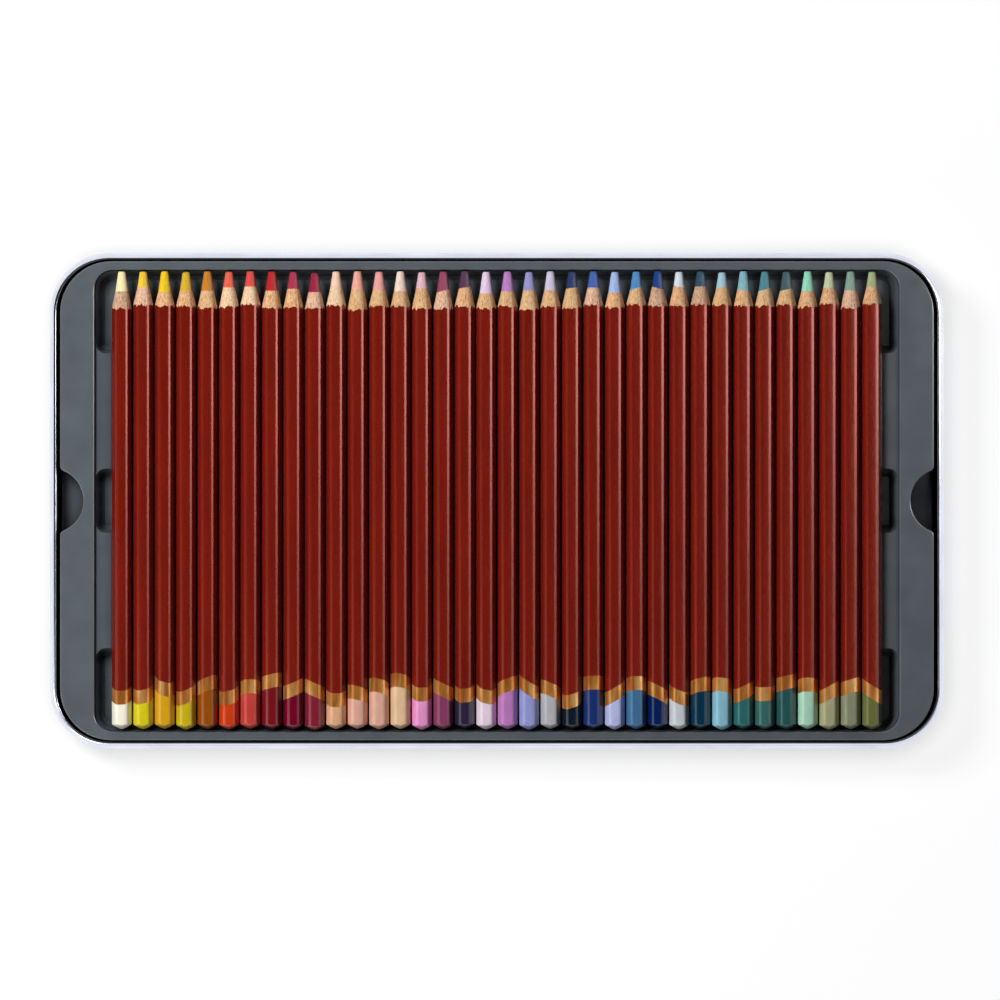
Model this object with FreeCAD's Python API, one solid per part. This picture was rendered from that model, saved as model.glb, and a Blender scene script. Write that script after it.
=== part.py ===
import FreeCAD, Part
import math
import os

from FreeCAD import Vector

# Pencil, in mm
pencil_length = 175.0
pencil_flats = 7.2
pencil_edge_radius = 1.35
tip_diameter = 2.7
core_diameter = 5.0
core_taper_length = 7.7
wood_taper_length = 7.9
tail_dome_radius = 4.7
tail_cap = 1.2
glue_gap = 0.05

# Row of pencils
pencil_count = 36
pencil_pitch = 8.2
end_play = 0.45
slide_shares = (0.3, 0.1, 0.5, -0.2, 0.4, 0.0, 0.6, 0.2, -0.1, -1.0, 0.3, 0.5,
                0.1, 0.4, -0.3, 0.2, 0.6, 0.0, 0.3, -0.2, 0.5, 0.1, 0.4, -0.1,
                0.2, 0.6, 0.0, 0.3, -0.4, 0.5, 0.2, 0.1, 0.4, -0.2, 0.3, 0.0)

# Formed plastic trays
tray_sheet = 0.7
side_room = 6.3
end_room = 0.7
side_flange = 13.2
end_flange = 3.4
tray_corner = 19.6
recess_corner = 7.0
recess_step = 1.8
recess_edge_radius = 0.6
flange_edge_radius = 0.5
axis_above_bar = 1.2
groove_clearance = 0.2
finger_room = 4.95
stack_room = 0.5
middle_channel_width = 24.7
bar_width = 44.05
channel_inset = 0.4
channel_corner = 3.8
channel_lean = 1.6
channel_foot = 1.5
bar_overrun = 3.0

# Finger notches of the upper tray
notch_radius = 12.3
notch_depth = 8.9
notch_mouth_radius = 2.0

# Tinplate base and lid
tin_sheet = 0.3
tray_side_gap = 1.3
tray_end_gap = 0.3
curl_diameter = 1.6
curl_sweep = 225.0
rim_drop = 2.06
lid_room = 1.34
stop_bead = 1.6
bead_face_tilt = 42.0
bead_nose_inside = 0.3
stop_bead_gap = 0.3
base_foot_radius = 2.4
lid_foot_radius = 2.0
lid_clearance = 0.3
lid_hem = 0.35
lid_hem_height = 2.0

# Gap left under each piece that rests on another one
rest_gap = 0.05

# Sizes that follow from the ones above
pencil_radius = pencil_flats / 2
corner_radius = pencil_flats / math.sqrt(3)
edge_reach = (pencil_radius - pencil_edge_radius) / math.cos(math.radians(30)) + pencil_edge_radius
core_radius = core_diameter / 2
row_half = (pencil_count - 1) * pencil_pitch / 2
recess_half_x = row_half + pencil_pitch / 2 + side_room
recess_half_y = pencil_length / 2 + end_room
tray_half_x = recess_half_x + side_flange
tray_half_y = recess_half_y + end_flange
axis_drop = recess_step - axis_above_bar
pencil_rise = pencil_radius - axis_drop
channel_depth = axis_drop + pencil_radius + finger_room
tray_height = channel_depth + tray_sheet + pencil_rise + stack_room
groove_radius = edge_reach + groove_clearance
bar_inner = middle_channel_width / 2
bar_outer = bar_inner + bar_width
wall_half_x = tray_half_x + tray_side_gap + curl_diameter
wall_half_y = tray_half_y + tray_end_gap + curl_diameter
wall_corner = tray_corner + tray_end_gap + curl_diameter
lid_offset = lid_clearance + tin_sheet
bead_nose_radius = bead_nose_inside + tin_sheet
bead_nose = stop_bead - bead_nose_radius
bead_tilt = math.radians(bead_face_tilt)


def bead_reach(radius, face):
    """Half the height of the bead where its sloped sides meet an upright face, for a nose of a radius."""
    across = bead_nose + radius * math.cos(bead_tilt) - face
    return radius * math.sin(bead_tilt) + across / math.tan(bead_tilt)


# The skirt of the lower tray stands on the curve at the foot of the base, where that reaches under it
foot_inner = base_foot_radius - tin_sheet
foot_overlap = max(foot_inner - (tray_end_gap + curl_diameter - tin_sheet), 0)
foot_rise = foot_inner - math.sqrt(foot_inner ** 2 - foot_overlap ** 2)

# Heights above the table
base_bottom = tin_sheet + rest_gap
lower_foot = base_bottom + tin_sheet + foot_rise + rest_gap
lower_top = lower_foot + tray_height
upper_top = lower_top + rest_gap + tray_height
rim_top = upper_top - rim_drop
closed_top = upper_top + pencil_rise + lid_room
bead_middle = (closed_top + tin_sheet) / 2
bead_half_height = bead_reach(bead_nose_radius, 0)
lid_depth = bead_middle - bead_half_height - stop_bead_gap

half_share = 0.5
edge_bulge_share = 0.36
turn_45 = math.sqrt(half_share)
upward = Vector(0, 0, 1)
origin = Vector(0, 0, 0)


def line(start, end):
    return Part.makeLine(Vector(*start), Vector(*end))


def arc(start, middle, end):
    return Part.Arc(Vector(*start), Vector(*middle), Vector(*end)).toShape()


def face_of(edges):
    return Part.Face(Part.Wire(edges))


def outline(half_x, front, back, front_radius, back_radius, height):
    """A rectangle with round corners, lying level, the front corners apart from the back ones."""
    corners = ((half_x, front, front_radius, 1, -1), (half_x, back, back_radius, 1, 1),
               (-half_x, back, back_radius, -1, 1), (-half_x, front, front_radius, -1, -1))
    edges = []
    runs = []
    for x, y, radius, to_x, to_y in corners:
        centre_x = x - to_x * radius
        centre_y = y - to_y * radius
        on_x = (x, centre_y, height)
        on_y = (centre_x, y, height)
        middle = (centre_x + to_x * radius * turn_45, centre_y + to_y * radius * turn_45, height)
        first, last = (on_y, on_x) if to_x * to_y < 0 else (on_x, on_y)
        runs.append((first, middle, last))
    for index, (first, middle, last) in enumerate(runs):
        edges.append(line(runs[index - 1][2], first))
        edges.append(arc(first, middle, last))
    return Part.Wire(edges)


def even_outline(half_x, half_y, radius, height):
    return outline(half_x, -half_y, half_y, radius, radius, height)


def prism(wire, height):
    return Part.Face(wire).extrude(Vector(0, 0, height))


def rail(section, half_x, half_y, radius):
    """A section carried round a rounded rectangle, with its zero line on that outline."""
    straight_x = half_x - radius
    straight_y = half_y - radius
    placed = section.translated(Vector(radius, 0, 0))
    bend = placed.revolve(origin, upward, 90)
    centres = ((straight_x, -straight_y), (straight_x, straight_y),
               (-straight_x, straight_y), (-straight_x, -straight_y))
    pieces = []
    for index in range(len(centres)):
        start_x, start_y = centres[index]
        end_x, end_y = centres[(index + 1) % len(centres)]
        run = abs(end_x - start_x) + abs(end_y - start_y)
        side = placed.extrude(Vector(0, run, 0))
        side.rotate(origin, upward, 90 * index)
        side.translate(Vector(start_x, start_y, 0))
        corner = bend.copy()
        corner.rotate(origin, upward, 90 * index)
        corner.translate(Vector(end_x, end_y, 0))
        pieces.extend((side, corner))
    return pieces


def joined(pieces):
    whole = pieces[0].multiFuse(pieces[1:])
    return whole.removeSplitter()


# Tin base: floor, rounded foot, wall with the stop bead, rim rolled inward

def base_section():
    foot = base_bottom + base_foot_radius
    low = bead_middle - bead_half_height
    high = bead_middle + bead_half_height
    curl_radius = curl_diameter / 2
    inner_radius = curl_radius - tin_sheet
    curl_middle = rim_top - curl_radius
    foot_slack = base_foot_radius * (1 - turn_45)
    inner_slack = tin_sheet + foot_inner * (1 - turn_45)
    end_turn = math.radians(curl_sweep)
    half_turn = end_turn / 2
    inner_reach = bead_reach(bead_nose_inside, -tin_sheet)
    inner_low = bead_middle - inner_reach
    inner_high = bead_middle + inner_reach

    def on_curl(radius, turn):
        return (radius * math.cos(turn) - curl_radius, 0, curl_middle + radius * math.sin(turn))

    def on_nose(radius, side):
        x = bead_nose + radius * math.cos(bead_tilt)
        return (x, 0, bead_middle + side * radius * math.sin(bead_tilt))

    return face_of([
        line((-base_foot_radius, 0, base_bottom + tin_sheet), (-base_foot_radius, 0, base_bottom)),
        arc((-base_foot_radius, 0, base_bottom), (-foot_slack, 0, base_bottom + foot_slack), (0, 0, foot)),
        line((0, 0, foot), (0, 0, low)),
        line((0, 0, low), on_nose(bead_nose_radius, -1)),
        arc(on_nose(bead_nose_radius, -1), (stop_bead, 0, bead_middle), on_nose(bead_nose_radius, 1)),
        line(on_nose(bead_nose_radius, 1), (0, 0, high)),
        line((0, 0, high), (0, 0, curl_middle)),
        arc(on_curl(curl_radius, 0), on_curl(curl_radius, half_turn), on_curl(curl_radius, end_turn)),
        line(on_curl(curl_radius, end_turn), on_curl(inner_radius, end_turn)),
        arc(on_curl(inner_radius, end_turn), on_curl(inner_radius, half_turn), on_curl(inner_radius, 0)),
        line((-tin_sheet, 0, curl_middle), (-tin_sheet, 0, inner_high)),
        line((-tin_sheet, 0, inner_high), on_nose(bead_nose_inside, 1)),
        arc(on_nose(bead_nose_inside, 1), (stop_bead - tin_sheet, 0, bead_middle),
            on_nose(bead_nose_inside, -1)),
        line(on_nose(bead_nose_inside, -1), (-tin_sheet, 0, inner_low)),
        line((-tin_sheet, 0, inner_low), (-tin_sheet, 0, foot)),
        arc((-tin_sheet, 0, foot), (-inner_slack, 0, base_bottom + inner_slack),
            (-base_foot_radius, 0, base_bottom + tin_sheet)),
    ])


def make_base():
    walls = rail(base_section(), wall_half_x, wall_half_y, wall_corner)
    floor = prism(even_outline(wall_half_x - base_foot_radius, wall_half_y - base_foot_radius,
                               wall_corner - base_foot_radius, base_bottom), tin_sheet)
    return joined([floor] + walls)


# Lid: panel, rounded edge, skirt with a hem folded outward

def lid_section():
    hem_foot = lid_depth - lid_hem_height
    hem_round = (tin_sheet + lid_hem) / 2
    hem_top = lid_depth - hem_round
    foot_inner = lid_foot_radius - tin_sheet
    foot_slack = lid_foot_radius * (1 - turn_45)
    inner_slack = tin_sheet + foot_inner * (1 - turn_45)
    return face_of([
        line((-lid_foot_radius, 0, tin_sheet), (-lid_foot_radius, 0, 0)),
        arc((-lid_foot_radius, 0, 0), (-foot_slack, 0, foot_slack), (0, 0, lid_foot_radius)),
        line((0, 0, lid_foot_radius), (0, 0, hem_foot)),
        line((0, 0, hem_foot), (lid_hem, 0, hem_foot)),
        line((lid_hem, 0, hem_foot), (lid_hem, 0, hem_top)),
        arc((lid_hem, 0, hem_top), (lid_hem - hem_round, 0, lid_depth), (-tin_sheet, 0, hem_top)),
        line((-tin_sheet, 0, hem_top), (-tin_sheet, 0, lid_foot_radius)),
        arc((-tin_sheet, 0, lid_foot_radius), (-inner_slack, 0, inner_slack),
            (-lid_foot_radius, 0, tin_sheet)),
    ])


def make_lid():
    half_x = wall_half_x + lid_offset
    half_y = wall_half_y + lid_offset
    corner = wall_corner + lid_offset
    walls = rail(lid_section(), half_x, half_y, corner)
    panel = prism(even_outline(half_x - lid_foot_radius, half_y - lid_foot_radius,
                               corner - lid_foot_radius, 0), tin_sheet)
    return joined([panel] + walls)


# Trays, built with the top of the flange at zero

def notched(block, growth):
    """A block without the two finger notches, each notch made larger all round by growth."""
    reach = notch_radius + growth
    mouth = notch_mouth_radius - growth
    centre_x = tray_half_x - notch_depth + notch_radius
    edge_x = tray_half_x - growth
    mouth_x = edge_x - mouth
    mouth_y = math.sqrt((reach + mouth) ** 2 - (centre_x - mouth_x) ** 2)
    touch = reach / (reach + mouth)
    touch_x = centre_x + (mouth_x - centre_x) * touch
    touch_y = mouth_y * touch
    floor = -tray_height - tray_sheet
    height = tray_height + tray_sheet * 2
    outside = centre_x + reach
    start_turn = math.atan2(mouth_y - mouth_y * touch, touch_x - mouth_x)
    half_turn = start_turn / 2

    def on_mouth(side):
        x = mouth_x + mouth * math.cos(half_turn)
        y = mouth_y - mouth * math.sin(abs(half_turn))
        return (x, side * y, floor)

    wire = Part.Wire([
        line((outside, -mouth_y, floor), (edge_x, -mouth_y, floor)),
        arc((edge_x, -mouth_y, floor), on_mouth(-1), (touch_x, -touch_y, floor)),
        arc((touch_x, -touch_y, floor), (centre_x - reach, 0, floor), (touch_x, touch_y, floor)),
        arc((touch_x, touch_y, floor), on_mouth(1), (edge_x, mouth_y, floor)),
        line((edge_x, mouth_y, floor), (outside, mouth_y, floor)),
        line((outside, mouth_y, floor), (outside, -mouth_y, floor)),
    ])
    right = prism(wire, height)
    left = right.rotated(origin, upward, 180)
    return block.cut([right, left])


def channel(front, back, front_radius, back_radius, growth, top):
    """A finger channel, straight to the bar's height, then leaning in, with a sloped foot."""
    half_x = recess_half_x - channel_inset
    floor = -channel_depth - growth
    levels = ((top, -growth), (-recess_step - growth, -growth),
              (floor + channel_foot, channel_lean - growth), (floor, channel_lean + channel_foot - growth))
    wires = []
    for height, inset in levels:
        wires.append(outline(half_x - inset, front + inset, back - inset,
                             front_radius - inset, back_radius - inset, height))
    return Part.makeLoft(wires, True, True)


def channels(growth, top):
    end = recess_half_y - channel_inset
    end_radius = recess_corner - channel_inset
    return [
        channel(-bar_inner, bar_inner, channel_corner, channel_corner, growth, top),
        channel(bar_outer, end, channel_corner, end_radius, growth, top),
        channel(-end, -bar_outer, end_radius, channel_corner, growth, top),
    ]


def pencil_x(index):
    return index * pencil_pitch - row_half


def groove_bed(front, back):
    """The rippled underside of one bar: a row of arcs that meet between the pencils."""
    radius = groove_radius + tray_sheet
    axis = -axis_drop
    top = -recess_step - tray_sheet / 2
    valley = axis - math.sqrt(radius ** 2 - (pencil_pitch / 2) ** 2)
    reach = math.sqrt(radius ** 2 - (axis - top) ** 2)
    last = pencil_count - 1
    edges = []
    for index in range(pencil_count):
        x = pencil_x(index)
        start = (x - pencil_pitch / 2, front, valley)
        end = (x + pencil_pitch / 2, front, valley)
        if index == 0:
            start = (x - reach, front, top)
        if index == last:
            end = (x + reach, front, top)
        edges.append(arc(start, (x, front, axis - radius), end))
    edges.append(line((pencil_x(last) + reach, front, top), (pencil_x(0) - reach, front, top)))
    return face_of(edges).extrude(Vector(0, back - front, 0))


def grooves(front, back):
    """The round grooves of one bar, one for each pencil."""
    axis = -axis_drop
    bar = -recess_step
    top = -recess_step / 2
    reach = math.sqrt(groove_radius ** 2 - axis_above_bar ** 2)
    cuts = []
    for index in range(pencil_count):
        x = pencil_x(index)
        section = face_of([
            arc((x - reach, front, bar), (x, front, axis - groove_radius), (x + reach, front, bar)),
            line((x + reach, front, bar), (x + reach, front, top)),
            line((x + reach, front, top), (x - reach, front, top)),
            line((x - reach, front, top), (x - reach, front, bar)),
        ])
        cuts.append(section.extrude(Vector(0, back - front, 0)))
    return cuts


def top_edges(block):
    return [edge for edge in block.Edges if min(vertex.Z for vertex in edge.Vertexes) > -tray_sheet / 2]


def recess_edge():
    """What is taken off all round the recess to leave its upper edge rounded."""
    radius = recess_edge_radius
    bulge = radius * edge_bulge_share
    section = face_of([
        line((-tray_sheet, 0, -radius), (0, 0, -radius)),
        arc((0, 0, -radius), (bulge, 0, -bulge), (radius, 0, 0)),
        line((radius, 0, 0), (radius, 0, tray_sheet)),
        line((radius, 0, tray_sheet), (-tray_sheet, 0, tray_sheet)),
        line((-tray_sheet, 0, tray_sheet), (-tray_sheet, 0, -radius)),
    ])
    return rail(section, recess_half_x, recess_half_y, recess_corner)


def make_tray(has_notches):
    block = prism(even_outline(tray_half_x, tray_half_y, tray_corner, -tray_height), tray_height)
    hollow = prism(even_outline(tray_half_x - tray_sheet, tray_half_y - tray_sheet,
                                tray_corner - tray_sheet, -tray_height - tray_sheet), tray_height)
    if has_notches:
        block = notched(block, 0)
        hollow = notched(hollow, tray_sheet)
    block = block.makeFillet(flange_edge_radius, top_edges(block))
    skin = block.cut(hollow)
    pan = prism(even_outline(recess_half_x + tray_sheet, recess_half_y + tray_sheet,
                             recess_corner + tray_sheet, -recess_step - tray_sheet),
                recess_step + tray_sheet / 2)
    bars = ((bar_inner - bar_overrun, bar_outer + bar_overrun),
            (-bar_outer - bar_overrun, -bar_inner + bar_overrun))
    beds = [groove_bed(front, back) for front, back in bars]
    shell = skin.multiFuse([pan] + channels(tray_sheet, -recess_step - tray_sheet / 2) + beds)
    recess = prism(even_outline(recess_half_x, recess_half_y, recess_corner, -recess_step),
                   recess_step + tray_sheet)
    cuts = [recess] + recess_edge() + channels(0, -recess_step / 2)
    for front, back in bars:
        cuts.extend(grooves(front, back))
    return shell.cut(cuts).removeSplitter()


# Pencil, built along the Y axis with its middle at the origin and the tip at +Y

def pencil_envelope():
    """The turned shape that the sharpener and the dipped tail give to the six-sided blank."""
    tail = -pencil_length / 2
    tip = pencil_length / 2
    shoulder = tip - core_taper_length
    reach = corner_radius + pencil_edge_radius
    wood_slope = (corner_radius - core_radius) / wood_taper_length
    barrel_end = shoulder - (reach - core_radius) / wood_slope
    dome_reach = min(reach, tail_dome_radius)
    dome_turn = math.asin(dome_reach / tail_dome_radius)
    dome_top = tail + tail_dome_radius * (1 - math.cos(dome_turn))
    half_turn = dome_turn / 2
    dome_middle = (tail_dome_radius * math.sin(half_turn),
                   tail + tail_dome_radius * (1 - math.cos(half_turn)), 0)
    section = face_of([
        arc((0, tail, 0), dome_middle, (dome_reach, dome_top, 0)),
        line((dome_reach, dome_top, 0), (dome_reach, barrel_end, 0)),
        line((dome_reach, barrel_end, 0), (core_radius, shoulder, 0)),
        line((core_radius, shoulder, 0), (tip_diameter / 2, tip, 0)),
        line((tip_diameter / 2, tip, 0), (0, tip, 0)),
        line((0, tip, 0), (0, tail, 0)),
    ])
    return section.revolve(origin, Vector(0, 1, 0), 360)


def pencil_blank():
    """A six-sided rod with a flat on top and rounded edges."""
    corners = []
    for index in range(6):
        turn = math.radians(60 * index)
        x = corner_radius * math.cos(turn)
        z = corner_radius * math.sin(turn)
        corners.append(Vector(x, -pencil_length / 2, z))
    rod = Part.Face(Part.makePolygon(corners + corners[:1])).extrude(Vector(0, pencil_length, 0))
    long_edges = [edge for edge in rod.Edges if edge.Length > pencil_length / 2]
    return rod.makeFillet(pencil_edge_radius, long_edges)


def rod(radius, start, end):
    return Part.makeCylinder(radius, end - start, Vector(0, start, 0), Vector(0, 1, 0))


def make_pencil():
    envelope = pencil_envelope()
    bore_end = -pencil_length / 2 + tail_cap
    past_tip = pencil_length / 2 + tail_cap
    body = pencil_blank().common(envelope)
    casing = body.cut(rod(core_radius, bore_end, past_tip))
    core = envelope.common(rod(core_radius - glue_gap, bore_end + glue_gap, past_tip))
    return casing.Solids[0], core.Solids[0]


def placed_pencil(solid, index, axis_height):
    return solid.translated(Vector(pencil_x(index), end_play * slide_shares[index % len(slide_shares)],
                                   axis_height))


# Write every node

casing, core = make_pencil()
lower_axis = lower_top - axis_drop
upper_axis = upper_top - axis_drop
nodes = {
    "lid": make_lid(),
    "tin_base": make_base(),
    "lower_tray": make_tray(False).translated(Vector(0, 0, lower_top)),
    "upper_tray": make_tray(True).translated(Vector(0, 0, upper_top)),
    "lower_pencil_casings": Part.makeCompound(
        [placed_pencil(casing, index, lower_axis) for index in range(pencil_count)]),
    "lower_pencil_cores": Part.makeCompound(
        [placed_pencil(core, index, lower_axis) for index in range(pencil_count)]),
}
for index in range(pencil_count):
    nodes["pencil_%02d" % (index + 1)] = Part.makeCompound(
        [placed_pencil(solid, index, upper_axis) for solid in (casing, core)])

os.makedirs("parts", exist_ok=True)
for name, shape in nodes.items():
    shape.exportStep("parts/%s.step" % name)
    print("%s: %d solids, valid %s" % (name, len(shape.Solids), shape.isValid()))
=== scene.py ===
import math
import random

import bpy
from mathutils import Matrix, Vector


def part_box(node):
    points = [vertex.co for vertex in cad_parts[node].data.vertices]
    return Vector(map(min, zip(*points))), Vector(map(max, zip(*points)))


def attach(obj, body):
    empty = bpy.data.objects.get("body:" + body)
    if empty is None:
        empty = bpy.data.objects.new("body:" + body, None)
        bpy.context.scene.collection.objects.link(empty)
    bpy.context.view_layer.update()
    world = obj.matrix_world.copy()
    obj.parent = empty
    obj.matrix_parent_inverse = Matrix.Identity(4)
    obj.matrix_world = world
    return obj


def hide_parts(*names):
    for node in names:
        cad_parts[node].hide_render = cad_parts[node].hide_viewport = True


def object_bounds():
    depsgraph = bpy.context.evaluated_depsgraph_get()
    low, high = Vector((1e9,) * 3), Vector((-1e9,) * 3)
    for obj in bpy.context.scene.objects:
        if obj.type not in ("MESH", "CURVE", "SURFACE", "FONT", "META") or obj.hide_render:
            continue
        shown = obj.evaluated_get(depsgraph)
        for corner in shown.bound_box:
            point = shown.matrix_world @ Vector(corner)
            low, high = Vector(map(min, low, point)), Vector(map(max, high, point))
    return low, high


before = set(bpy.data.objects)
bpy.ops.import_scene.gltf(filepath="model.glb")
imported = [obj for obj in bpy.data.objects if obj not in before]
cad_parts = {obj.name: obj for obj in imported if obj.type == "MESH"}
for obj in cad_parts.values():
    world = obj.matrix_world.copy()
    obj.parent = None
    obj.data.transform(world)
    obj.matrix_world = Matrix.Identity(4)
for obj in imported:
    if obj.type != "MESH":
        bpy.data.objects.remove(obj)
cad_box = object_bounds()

# Pencil form, in metres
edge_radius = 0.0016
skin_inset = 0.00008
flat_swell = 0.00003
dome_radius = 0.0047
dome_power = 1.2
dome_margin = 0.0004
band_length = 0.0053
tip_radius = 0.00135
tip_round = 0.0004
tip_step = tip_round / 3
core_radius = 0.0025
core_taper_length = 0.0077
scallop_depth = 0.0003
lacquer_teeth = 0.0005
tooth_points = 3
splinter_share = 0.5
core_teeth = 0.00010
lacquer_margin = 0.0004

# Sides and steps of the pencil mesh
side_count = 6
side_degrees = 60
edge_steps = 8
flat_steps = 8
dome_shares = (0.25, 0.5, 0.7, 0.84, 0.93, 0.98, 1.0)
barrel_shares = (0.25, 0.5, 0.75)
wood_shares = (0.35, 0.7)
core_shares = (0.4, 0.8)

# Camera, in metres: the photo looks straight down from far away
camera_distance = 3.2
view_width = 0.3821
view_shift_x = 0.00115
view_shift_y = 0.00027
sensor_width = 36.0
sight_reach = 100.0

# Stage and light, in metres and watts: a soft light from above the back left corner that doesn't show in
# gloss, a weak one at the front left, and tall strips on both sides that show in gloss alone and put the long
# shine on the edges of the pencils
light_target = (0.0, 0.0, 0.0)
floor_reach = 12.0
floor_drop = 0.0002
floor_albedo = 0.2
floor_glow = 0.85
floor_roughness = 0.9
floor_specular = 0.1
# Painted shadow on the floor: its glow dims by a share where the box stands within this reach
painted_shadow_reach = 0.009
painted_shadow_share = 0.55
key_place = (-0.6, 0.42, 1.0)
key_size = 0.4
key_power = 14.4
front_place = (-0.5, -0.75, 0.45)
front_size = 0.45
front_power = 2.2
strip_side = 0.6
strip_rise = 0.42
strip_height = 0.95
right_strip_span = (0.045, 0.25)
right_strip_power = 5.4
right_low_span = (-0.3, 0.045)
right_low_power = 0.6
left_strip_span = (-0.3, -0.085)
left_strip_power = 1.05

# Room round the box: pairs of a height, or of a share of the way to the front or back, and a level of light
side_levels = ((0.0, 1.0), (0.12, 0.8), (0.3, 0.25), (0.5, 0.05), (0.7, 0.02))
end_levels = ((0.28, 0.0), (0.5, 0.4), (0.7, 0.75), (0.85, 0.95))
fill_share = 0.07

# Finishes: colours of 0 to 255 as a screen shows them, shares of a colour's light, grain as the scale of the
# noise across, along and up the piece, places on a run of colours, pairs of levels of roughness, and bumps
# as a strength and a depth in metres
plain_detail = 3.0
plain_noise = 0.55
low_detail = 2.0
lowest_detail = 1.0
fine_detail = 4.0
fine_noise = 0.65
drift_places = (0.3, 0.7)

lacquer_colour = (117, 22, 9)
lacquer_light_shares = (0.88, 1.12)
lacquer_specular = 1.0
lacquer_shine = (1.0, 0.43, 0.36, 1.0)
lacquer_drift_grain = (160.0, 22.0, 160.0)
lacquer_gloss_grain = (900.0, 120.0, 900.0)
lacquer_roughness = (0.24, 0.3)
lacquer_bump_grain = (420.0, 60.0, 420.0)
lacquer_bump = (0.03, 0.0002)

gold_colours = ((168, 94, 32), (198, 130, 58), (222, 168, 102))
gold_places = (0.36, 0.5, 0.64)
gold_metal_share = 0.5
gold_sweep_grain = (320.0, 40.0, 320.0)
gold_streak_grain = (2400.0, 500.0, 2400.0)
gold_roughness = (0.4, 0.26)
gold_bump = (0.3, 0.0001)

wood_colours = {
    "golden": ((160, 106, 60), (211, 163, 112), (232, 192, 146)),
    "warm": ((160, 98, 58), (214, 156, 108), (238, 194, 148)),
    "pale": ((182, 130, 90), (230, 188, 146), (246, 218, 182)),
    "pink": ((160, 108, 84), (212, 162, 130), (238, 200, 170)),
    "brown": ((138, 96, 72), (190, 146, 116), (220, 182, 150)),
}
wood_places = (0.3, 0.44, 0.58)
wood_grain = (2300.0, 620.0, 2300.0)
wood_roughness = 0.75
wood_bump = (0.4, 0.0002)

core_light_shares = (0.78, 1.0, 1.12)
core_places = (0.3, 0.52, 0.72)
core_grain = (2200.0, 300.0, 2200.0)
core_noise = 0.6
core_roughness = 0.55
core_bump = (0.45, 0.0002)

dip_light_shares = (0.92, 1.08)
dip_drift_grain = (260.0, 120.0, 260.0)
dip_gloss_grain = (800.0, 300.0, 800.0)
dip_roughness = (0.18, 0.24)
dip_coat_share = 0.3
dip_coat_roughness = 0.12

tin_colour = (226, 230, 242)
tin_light_shares = (0.9, 1.04)
tin_drift_grain = (60.0, 60.0, 60.0)
tin_gloss_grain = (90.0, 90.0, 90.0)
tin_roughness = (0.13, 0.18)
tin_bump_grain = (45.0, 45.0, 45.0)
tin_bump = (0.02, 0.0004)
# Painted shade on the tin: its colour darkens where other surfaces stand within this reach, as in the gap
# between rim and tray
tin_painted_shade_reach = 0.0016
tin_painted_shade_power = 3.0

plastic_colour = (92, 99, 105)
plastic_light_shares = (0.9, 1.08)
plastic_specular = 0.6
plastic_drift_grain = (70.0, 70.0, 70.0)
plastic_gloss_grain = (150.0, 150.0, 150.0)
plastic_roughness = (0.2, 0.25)
plastic_bump_grain = (90.0, 90.0, 90.0)
plastic_bump = (0.05, 0.0006)
# Painted shade on the tray: its colour darkens where other surfaces stand within this reach, in the channels,
# recesses and under the pencils
plastic_painted_shade_reach = 0.007
plastic_painted_shade_power = 1.3

millimetre = 0.001

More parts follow.
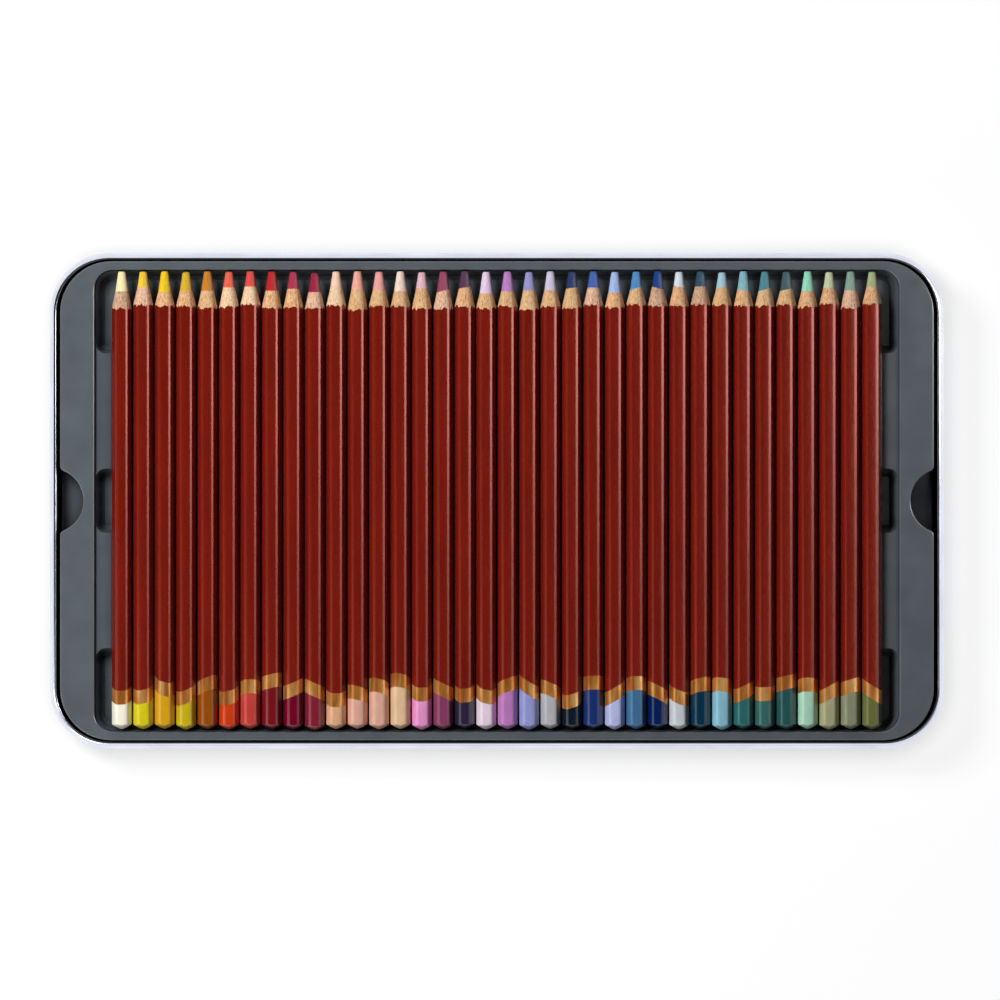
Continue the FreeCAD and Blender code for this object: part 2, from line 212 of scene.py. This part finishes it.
# What differs from pencil to pencil of the upper row, left to right: the colour of the core, the colour of
# the dipped tail, the kind of wood, how far the gold band's slant is turned round the pencil and how steep it
# is in degrees, and in millimetres the length of the dip, of the bare core and of the whole point, and the
# slant of the core's edge
upper_looks = (
    ((253, 236, 180), (252, 244, 222), "brown", 174, 26, 11.2, 7.6, 14.2, 0.0),
    ((245, 200, 50), (215, 200, 20), "pink", 151, 24, 11.3, 5.9, 12.6, 0.0),
    ((240, 200, 20), (215, 160, 20), "warm", -149, 28, 14.3, 8.0, 13.3, 0.0),
    ((215, 175, 35), (200, 175, 20), "warm", 125, 26, 11.0, 7.2, 13.0, 0.1),
    ((200, 125, 30), (150, 75, 5), "golden", 59, 22, 13.9, 7.4, 13.8, 0.0),
    ((235, 100, 75), (205, 60, 10), "pale", 142, 22, 10.7, 6.0, 13.3, 0.0),
    ((220, 75, 65), (195, 65, 55), "pale", 0, 17, 12.6, 5.9, 12.7, 0.0),
    ((185, 30, 35), (120, 15, 25), "warm", 63, 14, 15.5, 7.3, 13.6, 0.1),
    ((170, 45, 75), (115, 0, 35), "warm", 98, 23, 13.0, 6.5, 13.3, 0.1),
    ((150, 25, 60), (130, 30, 50), "pink", -90, 24, 13.0, 7.3, 13.3, 0.1),
    ((248, 205, 180), (222, 170, 130), "pale", -177, 20, 9.8, 6.0, 12.9, 0.0),
    ((240, 170, 150), (225, 170, 150), "golden", -57, 18, 10.5, 7.1, 14.6, 0.0),
    ((235, 160, 155), (222, 170, 150), "golden", -38, 22, 13.0, 6.9, 13.0, 0.0),
    ((240, 215, 200), (225, 190, 150), "golden", -28, 22, 14.7, 7.5, 13.2, 0.0),
    ((230, 185, 195), (235, 150, 205), "golden", 178, 24, 12.5, 6.2, 13.8, 0.0),
    ((150, 65, 95), (135, 60, 95), "pink", -90, 26, 12.3, 7.3, 14.2, 0.8),
    ((80, 50, 75), (45, 35, 60), "warm", 171, 25, 11.8, 6.3, 13.3, 0.4),
    ((232, 205, 232), (235, 215, 230), "golden", -155, 27, 11.6, 8.2, 13.9, 0.0),
    ((190, 125, 195), (190, 125, 190), "golden", 67, 22, 13.7, 7.6, 13.2, 0.0),
    ((150, 150, 205), (150, 155, 210), "golden", -104, 32, 13.6, 6.9, 14.0, 0.1),
    ((210, 200, 225), (180, 180, 185), "golden", -73, 24, 12.0, 7.2, 13.4, 0.0),
    ((35, 50, 95), (10, 25, 40), "golden", 138, 25, 9.5, 6.2, 13.7, 0.3),
    ((65, 95, 175), (25, 50, 110), "pink", 10, 9, 14.6, 6.2, 12.9, 0.0),
    ((165, 190, 235), (185, 190, 235), "warm", 98, 31, 11.2, 7.9, 13.4, 0.0),
    ((75, 140, 200), (65, 115, 155), "golden", 5, 14, 14.2, 6.3, 12.6, 0.7),
    ((10, 60, 130), (0, 30, 90), "brown", -80, 27, 11.1, 6.5, 13.2, -0.6),
    ((215, 228, 240), (205, 210, 215), "warm", -125, 25, 10.7, 5.7, 13.1, -0.4),
    ((40, 75, 100), (0, 50, 75), "brown", 46, 16, 13.7, 5.7, 12.6, 0.1),
    ((165, 205, 220), (140, 195, 215), "golden", -24, 18, 13.7, 5.7, 12.3, 0.5),
    ((130, 185, 195), (40, 105, 105), "warm", 106, 26, 11.7, 7.3, 13.1, -0.4),
    ((75, 135, 150), (55, 105, 100), "golden", 158, 9, 11.4, 6.8, 13.2, 0.7),
    ((60, 90, 95), (35, 85, 85), "golden", 81, 14, 15.2, 6.8, 12.5, 0.5),
    ((150, 225, 195), (175, 220, 195), "warm", 0, 16, 13.4, 7.6, 13.6, 0.0),
    ((200, 210, 170), (170, 170, 130), "warm", 93, 28, 11.7, 6.0, 12.2, 0.0),
    ((135, 165, 150), (140, 145, 115), "pink", 77, 17, 13.6, 7.2, 13.8, 0.0),
    ((165, 180, 130), (110, 115, 60), "warm", -97, 32, 11.9, 5.7, 12.3, 0.0),
)

# Core and dip colours of the lower row, left to right
lower_colours = (
    (86, 110, 56), (60, 92, 52), (44, 74, 44), (112, 132, 60), (140, 150, 78), (176, 182, 104),
    (205, 190, 120), (214, 176, 92), (202, 150, 66), (184, 124, 52), (166, 102, 48), (146, 84, 46),
    (128, 66, 40), (110, 52, 36), (92, 42, 32), (74, 36, 30), (150, 60, 44), (172, 78, 52),
    (190, 104, 74), (206, 138, 106), (220, 170, 140), (196, 160, 138), (160, 128, 110), (124, 98, 84),
    (96, 78, 68), (70, 58, 54), (196, 194, 188), (168, 168, 166), (140, 142, 144), (112, 116, 120),
    (86, 90, 96), (64, 68, 76), (46, 50, 58), (30, 30, 34), (226, 224, 216), (244, 243, 240),
)

# Woods and spans of the lower row's chance looks: turn and steepness of the gold band's slant in degrees,
# and in millimetres the length of the dip, of the bare core and of the whole point, and the slant of the
# core's edge
lower_woods = ("golden", "warm", "pale", "pink")
lower_look_spans = ((-180, 180), (10, 30), (10.0, 15.0), (5.8, 8.0), (12.4, 14.2), (-0.4, 0.4))


# Materials

def linear(colour):
    """Turn a colour of 0 to 255, as a screen shows it, into the renderer's linear values."""
    top, toe, toe_slope, lift, power = 255, 0.04045, 12.92, 0.055, 2.4
    levels = []
    for level in colour:
        level = level / top
        levels.append(level / toe_slope if level <= toe else ((level + lift) / (1 + lift)) ** power)
    return (*levels, 1.0)


def shade(colour, share):
    """The same colour, darker or lighter by a share of its light."""
    red, green, blue, alpha = linear(colour)
    return (min(red * share, 1.0), min(green * share, 1.0), min(blue * share, 1.0), alpha)


def add_node(tree, kind, **inputs):
    made = tree.nodes.new(kind)
    for name, value in inputs.items():
        made.inputs[name.replace("_", " ")].default_value = value
    return made


def new_material(name, **inputs):
    material = bpy.data.materials.new(name)
    material.use_nodes = True
    tree = material.node_tree
    shader = tree.nodes["Principled BSDF"]
    for socket, value in inputs.items():
        shader.inputs[socket.replace("_", " ")].default_value = value
    return material, tree, shader


def combine(tree, operation, *values):
    """The outcome of one sum on sockets or plain numbers."""
    made = tree.nodes.new("ShaderNodeMath")
    made.operation = operation
    for socket, value in zip(made.inputs, values):
        if isinstance(value, float):
            socket.default_value = value
        else:
            tree.links.new(value, socket)
    return made.outputs[0]


def stretched_place(tree, stretch):
    """Places on the piece, drawn out along each axis by the given scales."""
    coordinate = tree.nodes.new("ShaderNodeTexCoord")
    mapping = add_node(tree, "ShaderNodeMapping", Scale=stretch)
    tree.links.new(coordinate.outputs["Object"], mapping.inputs["Vector"])
    return mapping.outputs["Vector"]


def noise(tree, stretch, detail=plain_detail, roughness=plain_noise):
    texture = add_node(tree, "ShaderNodeTexNoise", Scale=1.0, Detail=detail, Roughness=roughness)
    tree.links.new(stretched_place(tree, stretch), texture.inputs["Vector"])
    return texture.outputs["Fac"]


def ramp(tree, factor, stops):
    """A run of colours, or of greys, over a factor: pairs of a place and a colour."""
    made = tree.nodes.new("ShaderNodeValToRGB")
    elements = made.color_ramp.elements
    spare_place = 0.5
    while len(elements) < len(stops):
        elements.new(spare_place)
    for element, (place, colour) in zip(elements, stops):
        element.position = place
        element.color = colour
    tree.links.new(factor, made.inputs["Fac"])
    return made.outputs["Color"]


def grey(level):
    return (level, level, level, 1.0)


def add_bump(tree, shader, height, strength, distance):
    bump = add_node(tree, "ShaderNodeBump", Strength=strength, Distance=distance)
    tree.links.new(height, bump.inputs["Height"])
    tree.links.new(bump.outputs["Normal"], shader.inputs["Normal"])


def drifting_tint(tree, colour, grain, light_shares):
    """A colour that drifts between a darker and a lighter shade of itself."""
    stops = [(place, shade(colour, share)) for place, share in zip(drift_places, light_shares)]
    return ramp(tree, noise(tree, grain), stops)


def add_roughness(tree, shader, factor, levels):
    """Roughness that goes from one level to another over a factor."""
    stops = [(place, grey(level)) for place, level in zip(drift_places, levels)]
    tree.links.new(ramp(tree, factor, stops), shader.inputs["Roughness"])


def paint_close_shade(tree, colour, reach, power):
    """A colour with painted shade: it darkens where other surfaces stand within reach."""
    near = add_node(tree, "ShaderNodeAmbientOcclusion", Distance=reach)
    shaded_tint = tree.nodes.new("ShaderNodeVectorMath")
    shaded_tint.operation = "SCALE"
    tree.links.new(colour, shaded_tint.inputs["Vector"])
    tree.links.new(combine(tree, "POWER", near.outputs["AO"], power), shaded_tint.inputs["Scale"])
    return shaded_tint.outputs["Vector"]


def lacquer_material():
    material, tree, shader = new_material("lacquer", Specular_IOR_Level=lacquer_specular,
                                          Specular_Tint=lacquer_shine)
    tint = drifting_tint(tree, lacquer_colour, lacquer_drift_grain, lacquer_light_shares)
    tree.links.new(tint, shader.inputs["Base Color"])
    add_roughness(tree, shader, noise(tree, lacquer_gloss_grain), lacquer_roughness)
    add_bump(tree, shader, noise(tree, lacquer_bump_grain, low_detail), *lacquer_bump)
    return material


def gold_material():
    material, tree, shader = new_material("gold_band", Metallic=gold_metal_share)
    stops = [(place, linear(colour)) for place, colour in zip(gold_places, gold_colours)]
    tint = ramp(tree, noise(tree, gold_sweep_grain, low_detail), stops)
    tree.links.new(tint, shader.inputs["Base Color"])
    streak = noise(tree, gold_streak_grain, fine_detail, fine_noise)
    add_roughness(tree, shader, streak, gold_roughness)
    add_bump(tree, shader, streak, *gold_bump)
    return material


def wood_material(kind, colours):
    material, tree, shader = new_material("wood_" + kind, Roughness=wood_roughness)
    fibre = noise(tree, wood_grain, fine_detail, fine_noise)
    stops = [(place, linear(colour)) for place, colour in zip(wood_places, colours)]
    tree.links.new(ramp(tree, fibre, stops), shader.inputs["Base Color"])
    add_bump(tree, shader, fibre, *wood_bump)
    return material


def core_material(name, colour):
    material, tree, shader = new_material(name, Roughness=core_roughness)
    streak = noise(tree, core_grain, fine_detail, core_noise)
    stops = [(place, shade(colour, share)) for place, share in zip(core_places, core_light_shares)]
    tree.links.new(ramp(tree, streak, stops), shader.inputs["Base Color"])
    add_bump(tree, shader, streak, *core_bump)
    return material


def dip_material(name, colour):
    material, tree, shader = new_material(name, Coat_Weight=dip_coat_share, Coat_Roughness=dip_coat_roughness)
    tint = drifting_tint(tree, colour, dip_drift_grain, dip_light_shares)
    tree.links.new(tint, shader.inputs["Base Color"])
    add_roughness(tree, shader, noise(tree, dip_gloss_grain), dip_roughness)
    return material


def tin_material():
    material, tree, shader = new_material("tinplate", Metallic=1.0)
    tint = drifting_tint(tree, tin_colour, tin_drift_grain, tin_light_shares)
    # The tin's colour carries painted shade where the tray and lid stand close
    tree.links.new(paint_close_shade(tree, tint, tin_painted_shade_reach, tin_painted_shade_power), shader.inputs["Base Color"])
    add_roughness(tree, shader, noise(tree, tin_gloss_grain), tin_roughness)
    add_bump(tree, shader, noise(tree, tin_bump_grain, lowest_detail), *tin_bump)
    return material


def plastic_material():
    material, tree, shader = new_material("tray_plastic", Specular_IOR_Level=plastic_specular)
    tint = drifting_tint(tree, plastic_colour, plastic_drift_grain, plastic_light_shares)
    # The tray's colour carries painted shade in its channels and recesses
    shaded_tint = paint_close_shade(tree, tint, plastic_painted_shade_reach, plastic_painted_shade_power)
    tree.links.new(shaded_tint, shader.inputs["Base Color"])
    add_roughness(tree, shader, noise(tree, plastic_gloss_grain), plastic_roughness)
    add_bump(tree, shader, noise(tree, plastic_bump_grain, lowest_detail), *plastic_bump)
    return material


# Pencils

def pencil_section(flats):
    """Points round the six-sided section with its rounded edges, as pairs across and up, a flat on top."""
    half_side = side_degrees / 2
    arm = (flats / 2 - skin_inset - edge_radius) / math.cos(math.radians(half_side))
    arcs = []
    for corner in range(side_count):
        middle = math.radians(side_degrees * corner)
        arc = []
        for step in range(edge_steps + 1):
            turn = middle + math.radians(side_degrees * step / edge_steps - half_side)
            arc.append(Vector((arm * math.cos(middle) + edge_radius * math.cos(turn),
                               arm * math.sin(middle) + edge_radius * math.sin(turn))))
        arcs.append(arc)
    points = []
    for corner, arc in enumerate(arcs):
        points.extend(arc)
        outward = math.radians(side_degrees * corner + half_side)
        following = arcs[(corner + 1) % len(arcs)]
        for step in range(1, flat_steps):
            share = step / flat_steps
            swell = flat_swell * 4 * share * (1 - share)
            rise = Vector((math.cos(outward), math.sin(outward))) * swell
            points.append(arc[-1].lerp(following[0], share) + rise)
    return points


def cone_radius(distance):
    """Radius of the sharpened core at a distance behind its tip."""
    return tip_radius + (core_radius - tip_radius) * distance / core_taper_length


def ragged_edge(count, chance):
    """How far the knife tore the lacquer forward or back at each point round the pencil."""
    teeth = [chance.uniform(-lacquer_teeth, lacquer_teeth) for _ in range(count // tooth_points)]
    heights = []
    for tooth, height in enumerate(teeth):
        following = teeth[(tooth + 1) % len(teeth)]
        for step in range(tooth_points):
            splinter = chance.uniform(-splinter_share, splinter_share) * lacquer_teeth
            heights.append(height + (following - height) * step / tooth_points + splinter)
    return heights


def pencil_rows(section, tail, tip, marks, chance):
    """Rows of points round the pencil from tail to tip, each with the finish of the band behind it."""
    turn, tilt, dip, core_length, point_length, core_slant = marks
    turn = math.radians(turn)
    steepness = math.tan(math.radians(tilt))
    dip_length = dip * millimetre
    band_end = dip_length + band_length
    flat_reach = min(point.length for point in section)
    edge_reach = max(point.length for point in section)
    rows = []
    for share in dome_shares:
        row = []
        for point in section:
            depth = dome_radius - math.sqrt(dome_radius ** 2 - point.length ** 2)
            drop = depth * (1 - (1 - share ** dome_power) ** (1 / dome_power))
            row.append((point.x * share, tail + drop, point.y * share))
        rows.append(("dip", row))
    rows.append(("dip", [(x, y + dome_margin, z) for x, y, z in row]))

    def band_edge(point, start):
        return tail + start + steepness * (point.x * math.sin(turn) + point.y * math.cos(turn))

    rows.append(("dip", [(point.x, band_edge(point, dip_length), point.y) for point in section]))
    rows.append(("gold", [(point.x, band_edge(point, band_end), point.y) for point in section]))

    lacquer_ends = []
    core_ends = []
    for point, ragged in zip(section, ragged_edge(len(section), chance)):
        scallop = scallop_depth * (point.length - flat_reach) / (edge_reach - flat_reach)
        lacquer_ends.append(tip - point_length * millimetre - scallop + ragged)
        slant = core_slant * millimetre * point.x / edge_reach
        core_ends.append(tip - core_length * millimetre + slant + chance.uniform(-core_teeth, core_teeth))
    margins = [min(lacquer_ends) - lacquer_margin] * len(section)
    starts = [band_edge(point, band_end) for point in section]
    for share in barrel_shares:
        row = []
        for point, start, end in zip(section, starts, margins):
            row.append((point.x, start + (end - start) * share, point.y))
        rows.append(("lacquer", row))
    for ends in (margins, lacquer_ends):
        rows.append(("lacquer", [(point.x, end, point.y) for point, end in zip(section, ends)]))

    for share in wood_shares + (1.0,):
        row = []
        for point, start, end in zip(section, lacquer_ends, core_ends):
            inner = point.normalized() * cone_radius(tip - end)
            spot = point.lerp(inner, share)
            row.append((spot.x, start + (end - start) * share, spot.y))
        rows.append(("wood", row))

    shoulder = tip - tip_round
    for share in core_shares + (1.0,):
        row = []
        for point, start in zip(section, core_ends):
            y = start + (shoulder - start) * share
            spot = point.normalized() * cone_radius(tip - y)
            row.append((spot.x, y, spot.y))
        rows.append(("core", row))
    for reach, y in ((tip_radius - tip_step, tip - tip_step), (tip_radius - tip_round, tip)):
        spots = [point.normalized() * reach for point in section]
        rows.append(("core", [(spot.x, y, spot.y) for spot in spots]))
    return rows


def pencil_shape(axis_x, axis_z, tail, tip, flats, marks, seed):
    """Points, faces, the finish of each face, and the points of the lacquer's sharp edge."""
    section = pencil_section(flats)
    rows = pencil_rows(section, tail, tip, marks, random.Random(seed))
    count = len(section)
    points = [(axis_x, tail, axis_z)]
    faces = []
    finishes = []
    sharp = set()
    for number, (finish, row) in enumerate(rows):
        start = 1 + number * count
        points.extend((axis_x + x, y, axis_z + z) for x, y, z in row)
        for column in range(count):
            following = (column + 1) % count
            if number == 0:
                faces.append((0, start + column, start + following))
            else:
                before = start - count
                faces.append((before + column, start + column, start + following, before + following))
            finishes.append(finish)
        following_finish = rows[number + 1][0] if number + 1 < len(rows) else finish
        if (finish, following_finish) == ("lacquer", "wood"):
            sharp.update(range(start, start + count))
    last = 1 + (len(rows) - 1) * count
    points.append((axis_x, tip, axis_z))
    for column in range(count):
        faces.append((last + column, len(points) - 1, last + (column + 1) % count))
        finishes.append("core")
    return points, faces, finishes, sharp


def make_piece(name, shapes):
    """One mesh from one or more shapes: each is its points, faces, materials by face and sharp points."""
    points = []
    faces = []
    materials = []
    sharp = set()
    for shape_points, shape_faces, shape_materials, shape_sharp in shapes:
        base = len(points)
        points.extend(shape_points)
        faces.extend(tuple(base + corner for corner in face) for face in shape_faces)
        materials.extend(shape_materials)
        sharp.update(base + corner for corner in shape_sharp)
    mesh = bpy.data.meshes.new(name)
    mesh.from_pydata(points, [], faces)
    slots = {}
    for polygon, material in zip(mesh.polygons, materials):
        if material.name not in slots:
            slots[material.name] = len(slots)
            mesh.materials.append(material)
        polygon.material_index = slots[material.name]
        polygon.use_smooth = True
    for edge in mesh.edges:
        edge.use_edge_sharp = edge.vertices[0] in sharp and edge.vertices[1] in sharp
    piece = bpy.data.objects.new(name, mesh)
    bpy.context.scene.collection.objects.link(piece)
    return piece


def dressed(shape, finishes):
    points, faces, names, sharp = shape
    return points, faces, [finishes[name] for name in names], sharp


lacquer = lacquer_material()
gold = gold_material()
woods = {kind: wood_material(kind, colours) for kind, colours in wood_colours.items()}


def make_upper_pencils():
    for index, look in enumerate(upper_looks):
        node = "pencil_%02d" % (index + 1)
        core_colour, dip_colour, wood, *marks = look
        low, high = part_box(node)
        finishes = {
            "dip": dip_material(node + "_dip", dip_colour),
            "gold": gold,
            "lacquer": lacquer,
            "wood": woods[wood],
            "core": core_material(node + "_core", core_colour),
        }
        shape = pencil_shape((low[0] + high[0]) / 2, (low[2] + high[2]) / 2, low[1], high[1],
                             high[2] - low[2], marks, index)
        piece = make_piece(node + "_finish", [dressed(shape, finishes)])
        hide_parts(node)
        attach(piece, node)


def make_lower_pencils():
    low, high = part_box("lower_pencil_casings")
    axis_z = (low[2] + high[2]) / 2
    shapes = []
    for index, colour in enumerate(lower_colours):
        above_low, above_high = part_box("pencil_%02d" % (index + 1))
        chance = random.Random(len(lower_colours) + index)
        name = "lower_pencil_%02d" % (index + 1)
        finishes = {
            "dip": dip_material(name + "_dip", colour),
            "gold": gold,
            "lacquer": lacquer,
            "wood": woods[chance.choice(lower_woods)],
            "core": core_material(name + "_core", colour),
        }
        marks = [chance.uniform(low_end, high_end) for low_end, high_end in lower_look_spans]
        shape = pencil_shape((above_low[0] + above_high[0]) / 2, axis_z, above_low[1], above_high[1],
                             high[2] - low[2], marks, len(upper_looks) + index)
        shapes.append(dressed(shape, finishes))
    piece = make_piece("lower_pencils_finish", shapes)
    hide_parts("lower_pencil_casings", "lower_pencil_cores")
    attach(piece, "lower_layer")


# Tin and trays keep their solid shapes

def dress_node(name, material):
    piece = bpy.data.objects[name]
    piece.data.materials.clear()
    piece.data.materials.append(material)


# Stage, light and camera

def shown_ray(tree):
    """One for the rays that show a surface itself: from the camera, off a gloss or through glass."""
    path = tree.nodes.new("ShaderNodeLightPath")
    seen = combine(tree, "MAXIMUM", path.outputs["Is Camera Ray"], path.outputs["Is Glossy Ray"])
    return combine(tree, "MAXIMUM", seen, path.outputs["Is Transmission Ray"])


def make_floor():
    """A pale floor that shows white, with a painted shadow: its glow is darker where it lies close to the
    box.
    """
    reach = floor_reach
    height = cad_box[0][2] - floor_drop
    mesh = bpy.data.meshes.new("floor")
    mesh.from_pydata([(-reach, -reach, height), (reach, -reach, height), (reach, reach, height),
                      (-reach, reach, height)], [], [(0, 1, 2, 3)])
    floor = bpy.data.objects.new("floor", mesh)
    bpy.context.scene.collection.objects.link(floor)
    material, tree, shader = new_material("floor", Base_Color=grey(floor_albedo), Roughness=floor_roughness,
                                          Specular_IOR_Level=floor_specular, Emission_Color=grey(1.0))
    contact = add_node(tree, "ShaderNodeAmbientOcclusion", Distance=painted_shadow_reach)
    painted_shadow_factor = combine(tree, "MULTIPLY_ADD", contact.outputs["AO"], painted_shadow_share, 1.0 - painted_shadow_share)
    glow = combine(tree, "MULTIPLY", painted_shadow_factor, floor_glow)
    tree.links.new(combine(tree, "MULTIPLY", glow, shown_ray(tree)), shader.inputs["Emission Strength"])
    mesh.materials.append(material)


def make_world():
    """A pale room: white round the horizon, dim overhead, and bright higher up at the front and the back."""
    world = bpy.data.worlds.new("studio")
    bpy.context.scene.world = world
    world.use_nodes = True
    tree = world.node_tree
    background = tree.nodes["Background"]
    coordinate = tree.nodes.new("ShaderNodeTexCoord")
    parts = tree.nodes.new("ShaderNodeSeparateXYZ")
    tree.links.new(coordinate.outputs["Generated"], parts.inputs["Vector"])
    sides = ramp(tree, parts.outputs["Z"], [(place, grey(level)) for place, level in side_levels])
    endward = combine(tree, "ABSOLUTE", parts.outputs["Y"])
    ends = ramp(tree, endward, [(place, grey(level)) for place, level in end_levels])
    tree.links.new(combine(tree, "MAXIMUM", sides, ends), background.inputs["Color"])
    strength = combine(tree, "MULTIPLY_ADD", shown_ray(tree), 1.0 - fill_share, fill_share)
    tree.links.new(strength, background.inputs["Strength"])


def add_panel(name, place, target, width, height, power):
    """A soft panel light that faces a point, unseen by the camera."""
    light = bpy.data.lights.new(name, "AREA")
    light.shape = "RECTANGLE"
    light.size = width
    light.size_y = height
    light.energy = power
    panel = bpy.data.objects.new(name, light)
    panel.location = place
    panel.rotation_euler = (Vector(target) - Vector(place)).to_track_quat("-Z", "Y").to_euler()
    panel.visible_camera = False
    bpy.context.scene.collection.objects.link(panel)
    return panel


def add_strip(name, side, span, power):
    """A tall strip beside the box that leans over it, from front to back over a span, for gloss alone."""
    front, back = span
    middle = (front + back) / 2
    place = (side * strip_side, middle, strip_rise)
    strip = add_panel(name, place, (0.0, middle, 0.0), back - front, strip_height, power)
    strip.visible_diffuse = False


def make_camera():
    low, high = cad_box
    camera = bpy.data.cameras.new("camera")
    camera.sensor_width = sensor_width
    camera.lens = sensor_width * camera_distance / view_width
    camera.clip_end = sight_reach
    viewer = bpy.data.objects.new("camera", camera)
    viewer.location = ((low[0] + high[0]) / 2 + view_shift_x, (low[1] + high[1]) / 2 + view_shift_y,
                       high[2] + camera_distance)
    bpy.context.scene.collection.objects.link(viewer)
    bpy.context.scene.camera = viewer


make_upper_pencils()
make_lower_pencils()
tinplate = tin_material()
tray_plastic = plastic_material()
for node in ("lid", "tin_base"):
    dress_node(node, tinplate)
for node in ("lower_tray", "upper_tray"):
    dress_node(node, tray_plastic)

make_floor()
make_world()
key = add_panel("key", key_place, light_target, key_size, key_size, key_power)
key.visible_glossy = False
add_panel("front", front_place, light_target, front_size, front_size, front_power)
add_strip("right_strip", 1, right_strip_span, right_strip_power)
add_strip("right_low_strip", 1, right_low_span, right_low_power)
add_strip("left_strip", -1, left_strip_span, left_strip_power)
make_camera()

scene = bpy.context.scene
scene.view_settings.view_transform = "Standard"
